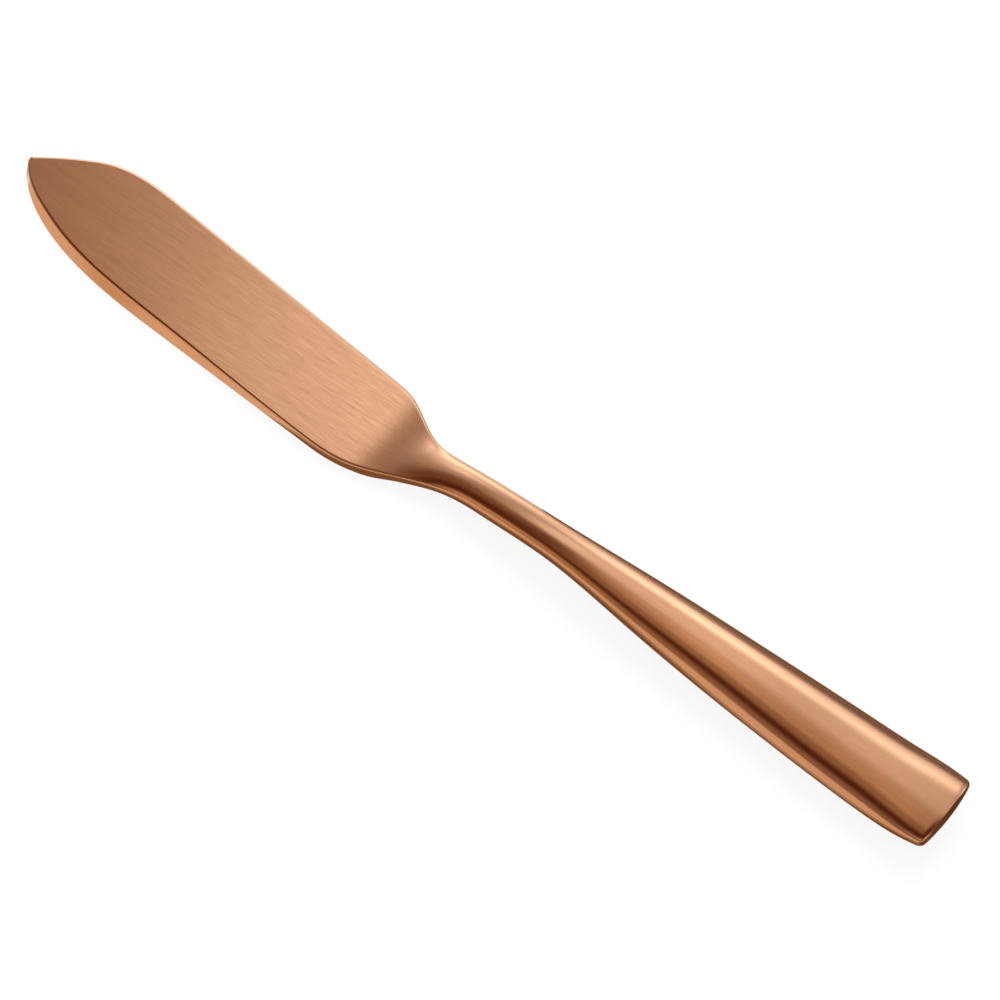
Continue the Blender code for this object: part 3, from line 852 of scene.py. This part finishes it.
def lay_cards(stage, knife):
    """Glowing cards on the floor that show only in the metal: painted reflections and painted shadow."""
    stations = spaced(TIP_X, BUTT_X, CARD_STEP)
    # The painted shadow under the knife reaches further behind the heel, and where the underside stands off
    # the table
    grown = stage.foot_reach * ease(knife.heel_x - FOOT_LEAD, FOOT_GROW, stations)
    reach = grown + stage.lift_reach * np.array([knife.limits(x)[2] for x in stations])
    spine = [(x, AXIS_Y + knife.spine_side(x)) for x in stations]
    near, far = ([(x, AXIS_Y + knife.edge_side(x) - part * further) for x, further in zip(stations, reach)]
                 for part in (FOOT_SHARE, 1.0))
    left, middle, right = ([(front_x, AXIS_Y), (back_x, BACK_Y)] for front_x, back_x in BACK_LINES)
    front = rectangle(-FRONT_HALF, FRONT_HALF, -FRONT_HALF, AXIS_Y)
    end = rectangle(BUTT_X + END_GAP, BUTT_X + END_REACH, AXIS_Y - END_FRONT, AXIS_Y + END_BACK)
    cards = (("front_card", CARD_HEIGHT, front, stage.front_card),
             ("foot_shadow_card", SHADE_HEIGHT, (near, spine), stage.foot_shadow_card),
             ("shade_card", SHADE_HEIGHT, (far, near), stage.shade_card),
             ("end_card", END_HEIGHT, end, stage.end_card),
             ("back_card", CARD_HEIGHT, (middle, right), stage.back_card),
             ("pale_card", CARD_HEIGHT, (left, middle), stage.pale_card))
    for name, height, lines, colour in cards:
        reflections_only(sheet(name, height, lines, card_finish(name, colour)))


def hang_tent(stage):
    """Round tent of cloth, whose softboxes show only in the metal."""
    mesh = bmesh.new()
    bmesh.ops.create_uvsphere(mesh, u_segments=TENT_SEGMENTS, v_segments=TENT_SEGMENTS // 2,
                              radius=stage.tent_radius)
    data = bpy.data.meshes.new("light_tent")
    mesh.to_mesh(data)
    mesh.free()
    data.shade_smooth()
    data.materials.append(tent_finish(stage))
    tent = added("light_tent", data)
    reflections_only(tent)


def hang_lamp(stage):
    """Lamp behind the knife, for the shadow on the floor."""
    lamp = bpy.data.lights.new("back_lamp", "AREA")
    lamp.shape, lamp.size, lamp.energy = "DISK", stage.lamp_size, stage.lamp_power
    holder = added("back_lamp", lamp)
    direction = towards(stage.lamp_azimuth, stage.lamp_elevation)
    holder.location = direction * stage.lamp_distance
    holder.rotation_euler = direction.to_track_quat("Z", "Y").to_euler()
    holder.visible_glossy = False


def light_room(scene, stage):
    """Even light from all sides, in a room that looks white."""
    world = bpy.data.worlds.new("studio")
    world.use_nodes = True
    graph = Graph(world.node_tree)
    room, white = (graph.node("ShaderNodeBackground", None, {"Color": rgba(WHITE), "Strength": strength})
                   for strength in (stage.room_light, 1.0))
    shader = graph.node("ShaderNodeMixShader", None, {0: seen_white(graph), 1: room, 2: white})
    graph.node("ShaderNodeOutputWorld", None, {"Surface": shader})
    scene.world = world


def set_camera(scene, stage):
    """Camera at the picture's viewing angle."""
    camera = bpy.data.cameras.new("camera")
    camera.lens, camera.sensor_width = stage.lens, SENSOR_WIDTH
    camera.clip_start, camera.clip_end = CLIP_NEAR, CLIP_FAR
    holder = added("camera", camera)
    back = towards(stage.azimuth, stage.elevation)
    target = Vector((stage.target_x, AXIS_Y + stage.target_y, stage.target_z))
    holder.location = target + back * stage.distance
    holder.rotation_euler = back.to_track_quat("Z", "Y").to_euler()
    scene.camera = holder


class KNIFE_OT_stage(bpy.types.Operator):
    """Set the floor, the cards, the light tent, the lamp, the world and the camera"""
    bl_idname = "knife.set_stage"
    bl_label = "Set stage"

    def execute(self, context):
        scene, settings = context.scene, context.scene.butter_knife
        stage = settings.stage
        scene.view_settings.view_transform = "Standard"
        square = rectangle(-FLOOR_HALF, FLOOR_HALF, -FLOOR_HALF, FLOOR_HALF)
        sheet("floor", FLOOR_HEIGHT, square, floor_finish(stage))
        lay_cards(stage, Knife(settings))
        hang_tent(stage)
        hang_lamp(stage)
        light_room(scene, stage)
        set_camera(scene, stage)
        return {"FINISHED"}


class KNIFE_PT_panel(bpy.types.Panel):
    """Lists the knife's settings and the steps that make it"""
    bl_idname = "KNIFE_PT_panel"
    bl_label = "Butter knife"
    bl_space_type = "VIEW_3D"
    bl_region_type = "UI"
    bl_category = "Knife"

    def draw(self, context):
        settings = context.scene.butter_knife
        for operator in OPERATORS:
            self.layout.operator(operator.bl_idname)
        for group in (settings.blade, settings.heel, settings.handle, settings.finish, settings.stage):
            box = self.layout.box()
            for key in group.__annotations__:
                box.prop(group, key)


OPERATORS = (KNIFE_OT_blade, KNIFE_OT_handle_shells, KNIFE_OT_butt_plate, KNIFE_OT_filler, KNIFE_OT_stage)
CLASSES = (KnifeBladeSizes, KnifeHeelSizes, KnifeHandleSizes, KnifeFinish, KnifeStage, KnifeSettings,
           *OPERATORS, KNIFE_PT_panel)


def register():
    for each in CLASSES:
        bpy.utils.register_class(each)
    bpy.types.Scene.butter_knife = bpy.props.PointerProperty(type=KnifeSettings)


def unregister():
    del bpy.types.Scene.butter_knife
    for each in reversed(CLASSES):
        bpy.utils.unregister_class(each)


def main():
    register()
    bpy.ops.knife.forge_blade()
    bpy.ops.knife.press_handle_shells()
    bpy.ops.knife.fit_butt_plate()
    bpy.ops.knife.finish_filler()
    bpy.ops.knife.set_stage()


if __name__ == "__main__":
    main()
